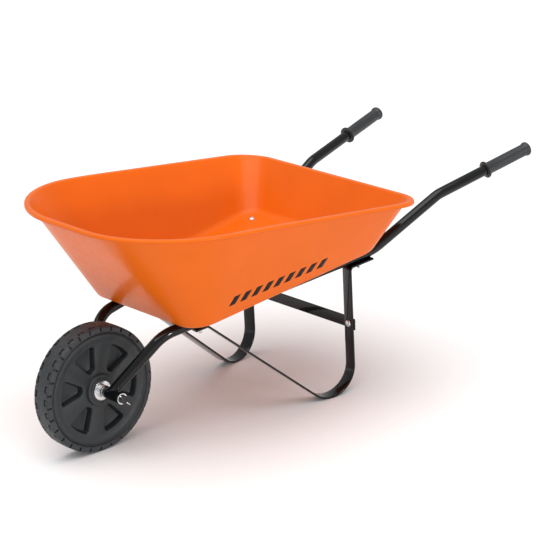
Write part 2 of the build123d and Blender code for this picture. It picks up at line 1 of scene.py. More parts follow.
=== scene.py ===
"""Visible pieces of a child-size wheelbarrow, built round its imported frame.

Metres, in the frame's own axes: +X forward to the wheel, +Y to the left, +Z up. A distance "back"
is measured behind the axle.
"""

from functools import cache
from math import asin, atan, atan2, cos, hypot, pi, radians, sin, tan

import bmesh
import bpy
from bpy.props import FloatProperty, FloatVectorProperty, IntProperty, PointerProperty
from mathutils import Matrix, Vector
from mathutils.bvhtree import BVHTree


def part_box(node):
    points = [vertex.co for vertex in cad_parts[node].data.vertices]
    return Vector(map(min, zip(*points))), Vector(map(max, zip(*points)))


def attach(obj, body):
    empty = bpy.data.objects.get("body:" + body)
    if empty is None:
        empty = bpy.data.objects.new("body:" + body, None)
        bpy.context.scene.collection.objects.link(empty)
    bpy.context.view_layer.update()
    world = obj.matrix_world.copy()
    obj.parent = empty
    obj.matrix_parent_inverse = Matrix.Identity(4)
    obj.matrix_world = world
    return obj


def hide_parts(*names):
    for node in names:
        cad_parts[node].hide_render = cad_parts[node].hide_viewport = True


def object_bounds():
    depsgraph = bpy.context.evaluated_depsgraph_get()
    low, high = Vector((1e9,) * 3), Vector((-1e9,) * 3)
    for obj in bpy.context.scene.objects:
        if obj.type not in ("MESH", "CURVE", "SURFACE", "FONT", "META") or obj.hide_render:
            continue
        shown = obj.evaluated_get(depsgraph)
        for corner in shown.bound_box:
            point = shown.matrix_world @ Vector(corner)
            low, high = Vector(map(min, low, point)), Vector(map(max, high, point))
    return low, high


bl_info = {
    "name": "Child-size wheelbarrow",
    "version": (1, 0, 0),
    "blender": (4, 5, 0),
    "location": "3D View > Sidebar > Wheelbarrow",
    "description": "Builds the tray, frame, wheel and grips of a child-size wheelbarrow",
    "category": "Object",
}

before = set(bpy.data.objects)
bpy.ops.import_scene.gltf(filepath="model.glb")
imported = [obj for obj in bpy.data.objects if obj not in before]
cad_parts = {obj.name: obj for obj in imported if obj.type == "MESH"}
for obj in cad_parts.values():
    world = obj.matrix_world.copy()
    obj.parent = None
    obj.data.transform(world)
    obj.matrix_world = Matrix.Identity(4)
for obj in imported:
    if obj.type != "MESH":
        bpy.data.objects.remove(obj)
CAD_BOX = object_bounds()

MM = 0.001
LEFT, RIGHT = 1, -1
SIDES = ((LEFT, "left"), (RIGHT, "right"))
UP = Vector((0, 0, 1))
ACROSS = Vector((0, 1, 0))
FLIP = Vector((1, -1, 1))
SHARP_EDGE = radians(60)

# ---- Places taken from the frame ----
TYRE_LOW, TYRE_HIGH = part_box("tyre")
AXLE = (TYRE_LOW + TYRE_HIGH) / 2
WHEEL_RADIUS = (TYRE_HIGH.z - TYRE_LOW.z) / 2
HALF_WIDTH = (TYRE_HIGH.y - TYRE_LOW.y) / 2
WASHER_LOW, WASHER_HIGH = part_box("axle_washer_left")
SPACER_LOW, SPACER_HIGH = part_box("axle_spacer_left")
SLEEVE_LOW, SLEEVE_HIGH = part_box("axle_sleeve_left")
AXLE_HALF_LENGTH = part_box("axle")[1].y
HUB_HALF_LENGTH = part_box("wheel_disc")[1].y
TUBE_RADIUS = (SLEEVE_HIGH.z - SLEEVE_LOW.z) / 2
AXLE_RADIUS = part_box("axle")[1].z - AXLE.z
SLIP = 0.05 * MM  # between a bar and its bore
AXLE_BORE = AXLE_RADIUS + SLIP


def place(back, side, height):
    """A point given by its distance behind the axle."""
    return Vector((AXLE.x - back, side, height))


# ---- Sizes a user would change ----
def length(label, note, default):
    """A size in metres, given in millimetres."""
    return FloatProperty(
        name=label, description=note, default=default * MM, unit="LENGTH", precision=5
    )


def colour(label, note, default):
    """A linear colour."""
    return FloatVectorProperty(
        name=label, description=note, default=default, size=3, min=0, max=1, subtype="COLOR"
    )


def share(label, note, default):
    """A number between nothing and one."""
    return FloatProperty(
        name=label, description=note, default=default, min=0, max=1, subtype="FACTOR"
    )


def count(label, note, default, least, most):
    """A whole number of like things."""
    return IntProperty(name=label, description=note, default=default, min=least, max=most)


def angle(label, note, default):
    """An angle, given in degrees."""
    return FloatProperty(name=label, description=note, default=radians(default), subtype="ANGLE")


class TraySettings(bpy.types.PropertyGroup):
    """Sizes and finish of the tray."""

    sheet: length("Sheet", "Thickness of the steel sheet", 0.9)
    flange: length("Flange", "Width of the flat flange round the rim", 13.0)
    lip_depth: length("Lip depth", "How far the rim's lip turns down", 7.0)
    lip_radius: length("Lip radius", "Radius of the bend between flange and lip", 2.8)
    inner_radius: length("Inner radius", "Radius of the bend between wall and flange", 2.0)
    edge_radius: length("Floor edge", "Tangent length of the bend between floor and walls", 12.0)
    paint: colour("Paint", "Colour of the tray's paint", (0.765, 0.133, 0.004))
    gloss: share("Roughness", "Roughness of the tray's paint", 0.36)
    mark: colour("Stripes", "Colour of the plain stripes on the walls", (0.006, 0.006, 0.0065))
    stripes: count("Stripes", "Number of stripes on a wall", 9, 1, 20)
    stripe_start: length("Stripe start", "Distance of the first stripe behind the axle", 208.0)
    stripe_pitch: length("Stripe pitch", "Distance from stripe to stripe", 27.0)
    stripe_width: length("Stripe width", "Width of one stripe", 15.0)
    stripe_height: length("Stripe height", "Height of one stripe up the wall", 24.0)


class FrameSettings(bpy.types.PropertyGroup):
    """Sizes and finish of tubes, legs and brace."""

    strap_width: length("Strap width", "Width of the legs' flat bar", 28.0)
    strap_thickness: length("Strap thickness", "Thickness of the legs' flat bar", 4.0)
    brace_width: length("Brace width", "Width of the brace's flat bar", 24.0)
    brace_thickness: length("Brace thickness", "Thickness of the brace's flat bar", 3.0)
    edge_round: length("Edge rounding", "Radius on the flat bars' rolled edges", 0.8)
    weld_radius: length("Weld bead", "Radius of the weld bead at the axle", 1.7)
    paint: colour("Enamel", "Colour of the frame's enamel", (0.0030, 0.0034, 0.0038))
    gloss: share("Roughness", "Roughness of the frame's enamel", 0.2)


class WheelSettings(bpy.types.PropertyGroup):
    """Sizes and finish of the wheel."""

    spokes: count("Spokes", "Number of spokes", 6, 3, 12)
    blocks: count("Tread blocks", "Blocks round one shoulder", 30, 8, 60)
    pocket_depth: length("Pocket depth", "Depth of the pockets between the spokes", 15.0)
    tread_depth: length("Tread depth", "Depth of the tread's grooves", 3.6)
    plastic: colour("Plastic", "Colour of the wheel disc", (0.012, 0.0165, 0.019))
    rubber: colour("Tyre", "Colour of the tyre's rubber", (0.022, 0.0255, 0.029))


class GripSettings(bpy.types.PropertyGroup):
    """Sizes and finish of the grips."""

    guard_radius: length("Guard radius", "Radius of the guard flange", 18.3)
    body_radius: length("Body radius", "Radius of the grip's body", 12.8)
    bulge_radius: length("End radius", "Radius of the grip's outer end", 15.0)
    rubber: colour("Rubber", "Colour of the grips", (0.017, 0.0195, 0.021))


class StageSettings(bpy.types.PropertyGroup):
    """Camera, lights and floor."""

    azimuth: angle("Azimuth", "Camera's angle round the object", 139.1)
    elevation: angle("Elevation", "Camera's angle above the horizon", 19.54)
    roll: angle("Roll", "Camera's roll", -2.77)
    lens: FloatProperty(name="Lens", description="Focal length", default=138.25, unit="CAMERA")
    floor: colour("Floor", "Colour of the floor", (0.9, 0.9, 0.9))


SETTINGS = (
    ("barrow_tray", TraySettings),
    ("barrow_frame", FrameSettings),
    ("barrow_wheel", WheelSettings),
    ("barrow_grips", GripSettings),
    ("barrow_stage", StageSettings),
)


# ---- Mesh helpers ----
def points_of(geom):
    return [g for g in geom if isinstance(g, bmesh.types.BMVert)]


def edges_of(geom):
    return [g for g in geom if isinstance(g, bmesh.types.BMEdge)]


def axes_at(origin, ahead, side):
    """A matrix with its Z along ahead and its X as near to side as it can be."""
    z = ahead.normalized()
    y = z.cross(side).normalized()
    x = y.cross(z)
    return Matrix.LocRotScale(origin, Matrix((x, y, z)).transposed().to_quaternion(), None)


def finish_piece(name, bm, body, slot, *materials, replaces=(), sharp=35.0):
    """Turns a bmesh into a shown piece that rides on a body."""
    mesh = bpy.data.meshes.new(name)
    bm.normal_update()
    bm.to_mesh(mesh)
    bm.free()
    mesh.shade_smooth()
    mesh.set_sharp_from_angle(angle=radians(sharp))
    for material in materials:
        mesh.materials.append(material)
    piece = bpy.data.objects.new(name, mesh)
    bpy.context.scene.collection.objects.link(piece)
    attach(piece, body)
    if replaces:
        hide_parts(*replaces)
    return piece


def tidy(bm, gap=2e-6):
    """Merges doubled points and turns every face outwards."""
    bmesh.ops.remove_doubles(bm, verts=bm.verts, dist=gap)
    bmesh.ops.recalc_face_normals(bm, faces=bm.faces)


def flip(bm):
    """Mirrors a shape in the middle plane."""
    bmesh.ops.scale(bm, vec=(1, -1, 1), verts=bm.verts)


def mirror_side(bm, side):
    """Moves a left-hand shape to the other side if it is wanted there."""
    if side == RIGHT:
        flip(bm)
        bmesh.ops.recalc_face_normals(bm, faces=bm.faces)


def bevel(bm, geom, offset, segments, affect="EDGES", clamp=False):
    """Rounds edges or corners."""
    bmesh.ops.bevel(
        bm,
        geom=geom,
        offset=offset,
        segments=segments,
        profile=0.5,
        affect=affect,
        clamp_overlap=clamp,
        material=-1,
    )


def full_turn(bm, wire, centre, axis, steps):
    """Turns a wire once round an axis."""
    bmesh.ops.spin(
        bm, geom=wire, cent=centre, axis=axis, angle=2 * pi, steps=steps, use_merge=True
    )


def lathe(profile, centre, axis, steps, closed=False):
    """A turned shape from (along, radius) pairs; an open profile starts and ends on the axis."""
    bm = bmesh.new()
    side = axis.orthogonal().normalized()
    line = [bm.verts.new(centre + axis * along + side * radius) for along, radius in profile]
    ends = line[1:] + line[:1] if closed else line[1:]
    wire = [bm.edges.new(pair) for pair in zip(line, ends)]
    full_turn(bm, line + wire, centre, axis, steps)
    tidy(bm)
    gaps = [e for e in bm.edges if e.is_boundary]
    if gaps:
        bmesh.ops.holes_fill(bm, edges=gaps, sides=4)
        bmesh.ops.recalc_face_normals(bm, faces=bm.faces)
    return bm


def collar(centre, axis, span, inner, outer, edge, steps=56):
    """A turned ring with rounded edges; span is where it starts and ends along the axis."""
    low, high = span
    ring = ((low, inner), (low, outer), (high, outer), (high, inner))
    bm = lathe(ring, centre, axis, steps, closed=True)
    round_edges(bm, edge)
    return bm


def round_edges(bm, offset):
    """Rounds every edge sharper than the limit."""
    sharp = [e for e in bm.edges if len(e.link_faces) == 2 and e.calc_face_angle() > SHARP_EDGE]
    bevel(bm, sharp, offset, 2)


def push(bm, ring, shift):
    """Extrudes a closed ring of edges by a shift and returns the new ring."""
    made = bmesh.ops.extrude_edge_only(bm, edges=ring)["geom"]
    moved = points_of(made)
    bmesh.ops.translate(bm, vec=shift, verts=moved)
    fresh = set(moved)
    return [e for e in edges_of(made) if all(v in fresh for v in e.verts)]


def bend(bm, ring, centre, axis, angle, steps):
    """Spins a closed ring of edges round a bend and returns the last ring."""
    points = list({v for e in ring for v in e.verts})
    made = bmesh.ops.spin(
        bm, geom=points + ring, cent=centre, axis=axis, angle=angle, steps=steps
    )
    return edges_of(made["geom_last"])


def circle(bm, radius, segments, seat, cap=True):
    """Adds a circle on a seat and returns its ring of edges."""
    made = bmesh.ops.create_circle(
        bm, cap_ends=cap, radius=radius, segments=segments, matrix=seat
    )
    return list({e for v in made["verts"] for e in v.link_edges})


def sweep(bm, ring, points, radii, steps):
    """Carries a ring along straight runs joined by round bends and closes the far end."""
    start = points[0]
    for before, corner, after, radius in zip(points, points[1:], points[2:], radii):
        ahead = (corner - before).normalized()
        turn = (after - corner).normalized()
        arc = ahead.angle(turn)
        reach = radius * tan(arc / 2)
        stop = corner - ahead * reach
        ring = push(bm, ring, stop - start)
        inward = (turn - ahead * ahead.dot(turn)).normalized()
        ring = bend(bm, ring, stop + inward * radius, ahead.cross(turn), arc, steps)
        start = corner + turn * reach
    bmesh.ops.contextual_create(bm, geom=push(bm, ring, points[-1] - start))
    tidy(bm)
    return bm


def rod(points, radii, radius, segments, steps):
    """A round bar along straight runs and bends."""
    bm = bmesh.new()
    seat = axes_at(points[0], points[1] - points[0], ACROSS)
    return sweep(bm, circle(bm, radius, segments, seat), points, radii, steps)


def flat_bar(points, radii, side, width, thickness, edge, steps):
    """A rolled flat bar along straight runs and bends, its width along side."""
    bm = bmesh.new()
    seat = axes_at(points[0], points[1] - points[0], side)
    shape = seat @ Matrix.Diagonal((width / 2, thickness / 2, 1, 1))
    corners = bmesh.ops.create_grid(bm, x_segments=1, y_segments=1, size=1, matrix=shape)["verts"]
    bevel(bm, corners, edge, 3, "VERTICES")
    return sweep(bm, list(bm.edges), points, radii, steps)


def join(target, other):
    """Adds one bmesh to another and frees it."""
    mesh = bpy.data.meshes.new("joining")
    other.to_mesh(mesh)
    other.free()
    target.from_mesh(mesh)
    bpy.data.meshes.remove(mesh)


# ---- Finishes ----
class Finish:
    """A node material with one Principled shader, fed by noise on Object coordinates."""

    def __init__(self, name, base, roughness, metallic=0.0, specular=0.5, coat=(0.0, 0.03)):
        self.material = bpy.data.materials.new(name)
        self.material.use_nodes = True
        self.tree = self.material.node_tree
        self.shader = self.tree.nodes["Principled BSDF"]
        self.base = base
        self.place = self.tree.nodes.new("ShaderNodeTexCoord").outputs["Object"]
        self.last_bump = None
        for socket, value in (
            ("Base Color", (*base, 1)),
            ("Roughness", roughness),
            ("Metallic", metallic),
            ("Specular IOR Level", specular),
            ("Coat Weight", coat[0]),
            ("Coat Roughness", coat[1]),
        ):
            self.shader.inputs[socket].default_value = value

    def node(self, kind, inputs, **settings):
        """Adds a node with its settings; an input is a value or the socket that feeds it."""
        node = self.tree.nodes.new("ShaderNode" + kind)
        for name, value in settings.items():
            setattr(node, name, value)
        for name, value in inputs.items():
            if isinstance(value, bpy.types.NodeSocket):
                self.tree.links.new(value, node.inputs[name])
            else:
                node.inputs[name].default_value = value
        return node

    def pattern(self, scale, detail, low, high):
        """A noise whose middle part is mapped to a range."""
        noise = self.noise(scale, detail)
        span = {"Value": noise, "From Min": 0.35, "From Max": 0.65, "To Min": low, "To Max": high}
        return self.node("MapRange", span).outputs["Result"]

    def noise(self, scale, detail):
        """A noise on Object coordinates."""
        inputs = {"Vector": self.place, "Scale": scale, "Detail": detail}
        return self.node("TexNoise", inputs).outputs["Fac"]

    def shade(self, scale, detail, dark, light):
        """Varies the base colour between a darker and a lighter tone of itself."""
        tones = [[*(min(1, c * part) for c in self.base), 1] for part in (dark, light)]
        inputs = {"A": tones[0], "B": tones[1], "Factor": self.pattern(scale, detail, 0, 1)}
        mix = self.node("Mix", inputs, data_type="RGBA")
        self.tree.links.new(mix.outputs["Result"], self.shader.inputs["Base Color"])

    def rough(self, scale, detail, low, high):
        """Varies the roughness."""
        value = self.pattern(scale, detail, low, high)
        self.tree.links.new(value, self.shader.inputs["Roughness"])

    def bump(self, scale, detail, height, strength):
        """Adds a bump of a real height in millimetres."""
        noise = self.noise(scale, detail)
        inputs = {"Strength": strength, "Distance": height * MM, "Height": noise}
        if self.last_bump is not None:
            inputs["Normal"] = self.last_bump
        self.last_bump = self.node("Bump", inputs).outputs["Normal"]
        self.tree.links.new(self.last_bump, self.shader.inputs["Normal"])


@cache
def tray_paint():
    look = bpy.context.scene.barrow_tray
    paint = Finish("tray paint", look.paint, look.gloss, specular=0.12, coat=(0.12, 0.1))
    paint.shade(9, 2, 0.965, 1.02)
    paint.rough(60, 3, look.gloss - 0.03, look.gloss + 0.04)
    paint.bump(650, 2, 0.03, 0.35)
    paint.bump(24, 1, 0.4, 0.12)
    return paint.material


@cache
def stripe_ink():
    ink = Finish("stripe ink", bpy.context.scene.barrow_tray.mark, 0.42, specular=0.2)
    ink.rough(240, 2, 0.38, 0.48)
    return ink.material


@cache
def frame_enamel():
    look = bpy.context.scene.barrow_frame
    enamel = Finish("frame enamel", look.paint, look.gloss, specular=0.08, coat=(0.5, 0.03))
    enamel.shade(30, 2, 0.85, 1.25)
    enamel.rough(90, 3, look.gloss - 0.03, look.gloss + 0.05)
    enamel.bump(900, 2, 0.02, 0.3)
    return enamel.material


@cache
def wheel_plastic():
    plastic = Finish("wheel plastic", bpy.context.scene.barrow_wheel.plastic, 0.45)
    plastic.shade(55, 3, 0.86, 1.14)
    plastic.rough(120, 3, 0.40, 0.52)
    plastic.bump(2300, 2, 0.04, 0.45)
    return plastic.material


@cache
def tyre_rubber():
    rubber = Finish("tyre rubber", bpy.context.scene.barrow_wheel.rubber, 0.55)
    rubber.shade(70, 4, 0.80, 1.20)
    rubber.rough(160, 3, 0.46, 0.64)
    rubber.bump(1500, 3, 0.06, 0.5)
    return rubber.material


@cache
def grip_rubber():
    rubber = Finish("grip rubber", bpy.context.scene.barrow_grips.rubber, 0.46)
    rubber.shade(80, 3, 0.88, 1.12)
    rubber.rough(200, 3, 0.40, 0.54)
    rubber.bump(1800, 2, 0.05, 0.5)
    return rubber.material


@cache
def zinc_plate():
    zinc = Finish("zinc plate", (0.76, 0.77, 0.78), 0.24, metallic=1.0)
    zinc.shade(180, 3, 0.86, 1.08)
    zinc.rough(420, 4, 0.16, 0.34)
    zinc.bump(1600, 3, 0.02, 0.4)
    return zinc.material


@cache
def dark_steel():
    steel = Finish("oiled steel", (0.035, 0.036, 0.038), 0.38, metallic=0.6)
    steel.shade(260, 3, 0.7, 1.3)
    steel.rough(300, 3, 0.30, 0.48)
    return steel.material


def enamelled(name, bm, *nodes):
    """Finishes a piece of the frame in enamel."""
    finish_piece(name, bm, "frame", "frame_paint", frame_enamel(), replaces=nodes)


def plated(name, bm, node):
    """Finishes a zinc-plated piece of the frame."""
    finish_piece(name, bm, "frame", "plated_steel", zinc_plate(), replaces=[node])


def thicken(piece, name, thickness, even=False):
    """Gives a surface a thickness, behind its normals."""
    layer = piece.modifiers.new(name, "SOLIDIFY")
    layer.thickness = thickness
    layer.offset = -1
    layer.use_even_offset = even


# ---- Tray ----
FLOOR_REAR_HALF = 199 * MM
FLOOR_OUTLINE = (127.5 * MM, 588 * MM, 168 * MM, FLOOR_REAR_HALF, 50 * MM, 40 * MM)
FLOOR_SEAT = 11.2 * MM
RIM_FRONT, RIM_REAR = -42 * MM, 659 * MM
RIM_HALF = 272 * MM
RIM_FRONT_CORNER, RIM_REAR_CORNER = 217 * MM, 74 * MM
RIM_REAR_HEIGHT, RIM_RISE = 401 * MM, 0.116
RIM_LEVEL_BACK, RIM_FRONT_DROP = 250 * MM, 15 * MM
WALL_TOP_DROP = 12 * MM
FRONT_ARC, REAR_ARC = 26, 14
SIDE_CUTS, END_CUTS, WALL_ROWS = 23, 5, 9
OFF_MIDDLE = 50 * MM
WALL_EDGE, WALL_CLIMB = 120 * MM, 60 * MM

FRONT_BEND_BACK, FRONT_BEND_SPREAD, FRONT_BEND_HEIGHT = 104 * MM, 94.7 * MM, 228 * MM
REAR_BEND_BACK, REAR_BEND_HEIGHT = 598 * MM, 289 * MM
FLOOR_RISE = (REAR_BEND_HEIGHT - FRONT_BEND_HEIGHT) / (REAR_BEND_BACK - FRONT_BEND_BACK)
FLOOR_TILT = atan(FLOOR_RISE)
FLOOR_NORMAL = Vector((sin(FLOOR_TILT), 0, cos(FLOOR_TILT)))


def tube_height(back):
    """Height of the tubes' centre line along the straight run under the tray."""
    return FRONT_BEND_HEIGHT + FLOOR_RISE * (back - FRONT_BEND_BACK)


def rim_level(back):
    """Height of the level plane that the rim's top lies in."""
    return RIM_REAR_HEIGHT + RIM_RISE * (RIM_REAR - back)


def rim_height(back):
    """Height of the rim's top: its plane, falling away in an arc over the front."""
    past = max(0, RIM_LEVEL_BACK - back) / (RIM_LEVEL_BACK - RIM_FRONT)
    return rim_level(back) - RIM_FRONT_DROP * past * past


def rounded_outline(bm, front, rear, half_front, half_rear, front_corner, rear_corner):
    """A four-cornered face in plan with round corners."""
    corners = [
        bm.verts.new(place(back, side * half, 0))
        for back, half, side in (
            (rear, half_rear, RIGHT),
            (front, half_front, RIGHT),
            (front, half_front, LEFT),
            (rear, half_rear, LEFT),
        )
    ]
    bm.faces.new(corners)
    lean = atan2(half_rear - half_front, rear - front)
    for pick, radius, segments, inside in (
        ((corners[0], corners[3]), rear_corner, REAR_ARC, pi / 2 - lean),
        ((corners[1], corners[2]), front_corner, FRONT_ARC, pi / 2 + lean),
    ):
        valid = [v for v in pick if v.is_valid]
        bevel(bm, valid, radius / tan(inside / 2), segments, "VERTICES")


def outline_loop(bm, *sizes):
    """Adds a rounded outline with its long edges cut up; returns its edges and points."""
    plan = bmesh.new()
    rounded_outline(plan, *sizes)
    long_edges = sorted(plan.edges, key=lambda e: -e.calc_length())[:4]
    for edge in long_edges:
        middle = (edge.verts[0].co + edge.verts[1].co) / 2
        cuts = SIDE_CUTS if abs(middle.y) > OFF_MIDDLE else END_CUTS
        bmesh.ops.bisect_edges(plan, edges=[edge], cuts=cuts)
    bmesh.ops.delete(plan, geom=plan.faces[:], context="FACES_ONLY")
    old_edges, old_points = set(bm.edges), set(bm.verts)
    join(bm, plan)
    edges = [e for e in bm.edges if e not in old_edges]
    points = [v for v in bm.verts if v not in old_points]
    return edges, points


def back_of(point):
    return AXLE.x - point.co.x


def rim_loop(bm, inset, forward=0):
    """Adds the rim's outline drawn in by an inset, its front moved forward."""
    half = RIM_HALF - inset
    return outline_loop(
        bm,
        RIM_FRONT + inset - forward,
        RIM_REAR - inset,
        half,
        half,
        RIM_FRONT_CORNER - inset,
        RIM_REAR_CORNER - inset,
    )


def tray_shell(look):
    """The tray's underside from the floor up the walls, under the flange and down the lip."""
    bm = bmesh.new()
    sheet = look.sheet
    floor, floor_points = outline_loop(bm, *FLOOR_OUTLINE)
    for v in floor_points:
        v.co.z = tube_height(back_of(v)) + FLOOR_SEAT / cos(FLOOR_TILT)
    top, top_points = rim_loop(bm, look.flange, WALL_TOP_DROP)
    for v in top_points:
        v.co.z = rim_level(back_of(v)) - sheet
    bmesh.ops.bridge_loops(bm, edges=floor + top)
    lower_to_rim(floor_points, top_points, sheet)
    rim, rim_points = rim_loop(bm, sheet)
    for v in rim_points:
        v.co.z = rim_height(back_of(v)) - sheet
    bmesh.ops.bridge_loops(bm, edges=top + rim)
    push(bm, rim, Vector((0, 0, sheet - look.lip_depth)))
    bmesh.ops.contextual_create(bm, geom=floor)
    for ring, offset, segments in (
        (top, look.inner_radius, 4),
        (rim, look.lip_radius, 5),
        (floor, look.edge_radius, 7),
    ):
        bevel(bm, [e for e in ring if e.is_valid], offset, segments, clamp=True)
    return bm


def lower_to_rim(floor_points, top_points, sheet):
    """Slides the walls' top points down their own rulings to the rim's height."""
    floor_set = set(floor_points)
    for v in top_points:
        foot = next(e.other_vert(v) for e in v.link_edges if e.other_vert(v) in floor_set)
        rise = v.co - foot.co
        part = 1.0
        for _ in range(6):
            spot = foot.co + rise * part
            part += (rim_height(AXLE.x - spot.x) - sheet - spot.z) / rise.z
        v.co = foot.co + rise * part


class BARROW_OT_tray(bpy.types.Operator):
    """Build the pressed tray with its flange and turned-down lip"""

    bl_idname = "barrow.tray"
    bl_label = "Tray"

    def execute(self, context):
        look = context.scene.barrow_tray
        bm = tray_shell(look)
        walls = [
            e
            for e in bm.edges
            if e.calc_length() > WALL_EDGE and abs(e.verts[0].co.z - e.verts[1].co.z) > WALL_CLIMB
        ]
        bmesh.ops.subdivide_edges(bm, edges=walls, cuts=WALL_ROWS, use_grid_fill=True)
        bmesh.ops.recalc_face_normals(bm, faces=bm.faces)
        if max(bm.faces, key=lambda f: f.calc_area()).normal.z > 0:
            bmesh.ops.reverse_faces(bm, faces=bm.faces)
        piece = finish_piece(
            "tray_shell", bm, "frame", "tray_paint", tray_paint(), replaces=["tray"], sharp=50
        )
        thicken(piece, "sheet", look.sheet, even=True)
        return {"FINISHED"}


STRIPE_FILM, STRIPE_SLANT, STRIPE_ABOVE_FLOOR = 0.15 * MM, 0.4, 50 * MM


class BARROW_OT_stripes(bpy.types.Operator):
    """Lay plain slanted stripes on the tray's two long walls"""

    bl_idname = "barrow.stripes"
    bl_label = "Stripes"

    def execute(self, context):
        look = context.scene.barrow_tray
        shell = bmesh.new()
        shell.from_mesh(bpy.data.objects["tray_shell"].data)
        wall = BVHTree.FromBMesh(shell)
        shell.free()
        for side, word in SIDES:
            bm = bmesh.new()
            for step in range(look.stripes):
                back = look.stripe_start + step * look.stripe_pitch
                middle = place(back, side * FLOOR_REAR_HALF, tube_height(back) + STRIPE_ABOVE_FLOOR)
                along = Vector((-1, 0, FLOOR_RISE)) * look.stripe_width / 2
                upward = Vector((-STRIPE_SLANT, 0, 1)) * look.stripe_height / 2
                shape = Matrix((along, upward, ACROSS)).transposed().to_4x4()
                shape.translation = middle
                bmesh.ops.create_grid(bm, x_segments=3, y_segments=4, size=1, matrix=shape)
            for v in bm.verts:
                spot, normal, _face, _far = wall.find_nearest(v.co)
                v.co = spot + normal * STRIPE_FILM
            bm.normal_update()
            turned = [f for f in bm.faces if f.normal.y * side < 0]
            bmesh.ops.reverse_faces(bm, faces=turned)
            piece = finish_piece("wall_stripes_" + word, bm, "frame", "tray_paint", stripe_ink())
            thicken(piece, "film", STRIPE_FILM / 2)
        return {"FINISHED"}


# ---- Frame tubes, sleeves and welds ----
AXLE_END_SPREAD = 54 * MM
HANDLE_BEND_BACK, HANDLE_BEND_HEIGHT = 764.5 * MM, 371 * MM
HANDLE_END_SPREAD, HANDLE_END_HEIGHT = 225 * MM, 423.5 * MM
GRIP_END_RADIUS = 11 * MM
HANDLE_SLOPE = atan(
    (HANDLE_END_HEIGHT - HANDLE_BEND_HEIGHT) / (AXLE.x - CAD_BOX[0].x - HANDLE_BEND_BACK)
)
HANDLE_END_BACK = AXLE.x - CAD_BOX[0].x - GRIP_END_RADIUS * sin(HANDLE_SLOPE)
PLAN_SLOPE = (HANDLE_END_SPREAD - FRONT_BEND_SPREAD) / (HANDLE_END_BACK - FRONT_BEND_BACK)
PLAN_ANGLE = atan(PLAN_SLOPE)
BEND_RADII = (68 * MM, 120 * MM, 80 * MM)
GRIP_LENGTH, GRIP_CAP = 120 * MM, 4 * MM


def spread(back):
    """Distance of a tube's centre line from the middle plane, behind the front bend."""
    return FRONT_BEND_SPREAD + PLAN_SLOPE * (back - FRONT_BEND_BACK)


HANDLE_BEND = place(HANDLE_BEND_BACK, spread(HANDLE_BEND_BACK), HANDLE_BEND_HEIGHT)
HANDLE_END = place(HANDLE_END_BACK, HANDLE_END_SPREAD, HANDLE_END_HEIGHT)
HANDLE_AHEAD = (HANDLE_END - HANDLE_BEND).normalized()
TUBE_POINTS = (
    place(0, AXLE_END_SPREAD, AXLE.z),
    place(FRONT_BEND_BACK, FRONT_BEND_SPREAD, FRONT_BEND_HEIGHT),
    place(REAR_BEND_BACK, spread(REAR_BEND_BACK), REAR_BEND_HEIGHT),
    HANDLE_BEND,
    HANDLE_END - HANDLE_AHEAD * GRIP_CAP,
)


class BARROW_OT_tubes(bpy.types.Operator):
    """Build the two bent frame tubes"""

    bl_idname = "barrow.tubes"
    bl_label = "Frame tubes"

    def execute(self, context):
        for side, word in SIDES:
            bm = rod(TUBE_POINTS, BEND_RADII, TUBE_RADIUS, 48, 14)
            mirror_side(bm, side)
            enamelled("bent_tube_" + word, bm, "frame_tube_" + word)
        return {"FINISHED"}


WELD_RIPPLE, WELD_WAVES = 0.10, 30
BARE_END = 0.45 * MM


def weld_half(crossing, along, other, radius, bead):
    """Half of the bead where two equal tubes cross: half a ring, stretched in the mitre plane."""
    long_way = (along.normalized() + other.normalized()).normalized()
    short_way = along.cross(other).normalized()
    stretch = 1 / sin(along.angle(other) / 2)
    bm = bmesh.new()
    seat = Matrix.Translation((radius, 0, 0)) @ Matrix.Rotation(pi / 2, 4, "X")
    last = bend(bm, circle(bm, bead, 12, seat), Vector(), UP, pi, 24)
    bmesh.ops.contextual_create(bm, geom=last)
    for v in bm.verts:
        ripple = 1 + WELD_RIPPLE * sin(WELD_WAVES * atan2(v.co.y, v.co.x))
        core = Vector((v.co.x, v.co.y, 0)).normalized() * radius
        v.co = core + (v.co - core) * ripple
    bmesh.ops.scale(bm, vec=(1, stretch, 1), verts=bm.verts)
    turn = Matrix((short_way, long_way, short_way.cross(long_way))).transposed().to_4x4()
    bmesh.ops.transform(bm, matrix=Matrix.Translation(crossing) @ turn, verts=bm.verts)
    tidy(bm)
    return bm


class BARROW_OT_sleeves(bpy.types.Operator):
    """Build the axle sleeves and the weld beads that hold the tubes to them"""

    bl_idname = "barrow.sleeves"
    bl_label = "Axle sleeves and welds"

    def execute(self, context):
        look = context.scene.barrow_frame
        span = SLEEVE_LOW.y, SLEEVE_HIGH.y
        start, rise = TUBE_POINTS[0], TUBE_POINTS[1] - TUBE_POINTS[0]
        for side, word in SIDES:
            bm = collar(AXLE, ACROSS, span, AXLE_BORE, TUBE_RADIUS, 0.5 * MM)
            for face in bm.faces:
                face.material_index = int(face.calc_center_median().y > span[1] - BARE_END)
            mirror_side(bm, side)
            looks, node = (frame_enamel(), zinc_plate()), "axle_sleeve_" + word
            finish_piece("sleeve_" + word, bm, "frame", "frame_paint", *looks, replaces=[node])
            beads = bmesh.new()
            for along in (ACROSS, -ACROSS):
                join(beads, weld_half(start, along, rise, TUBE_RADIUS, look.weld_radius))
            mirror_side(beads, side)
            enamelled("weld_" + word, beads)
        return {"FINISHED"}


# ---- Axle, washers, spacers and cotter pins ----
COTTER_TILT = radians(40)
COTTER_WIRE, COTTER_EYE, COTTER_TIP = 1.8 * MM, 2.3 * MM, 7.5 * MM
COTTER_SPACING, COTTER_BEND = 0.62, 2.2 * MM
EYE_GAP, SPLAY_GAP = 0.6 * MM, 2.2 * MM


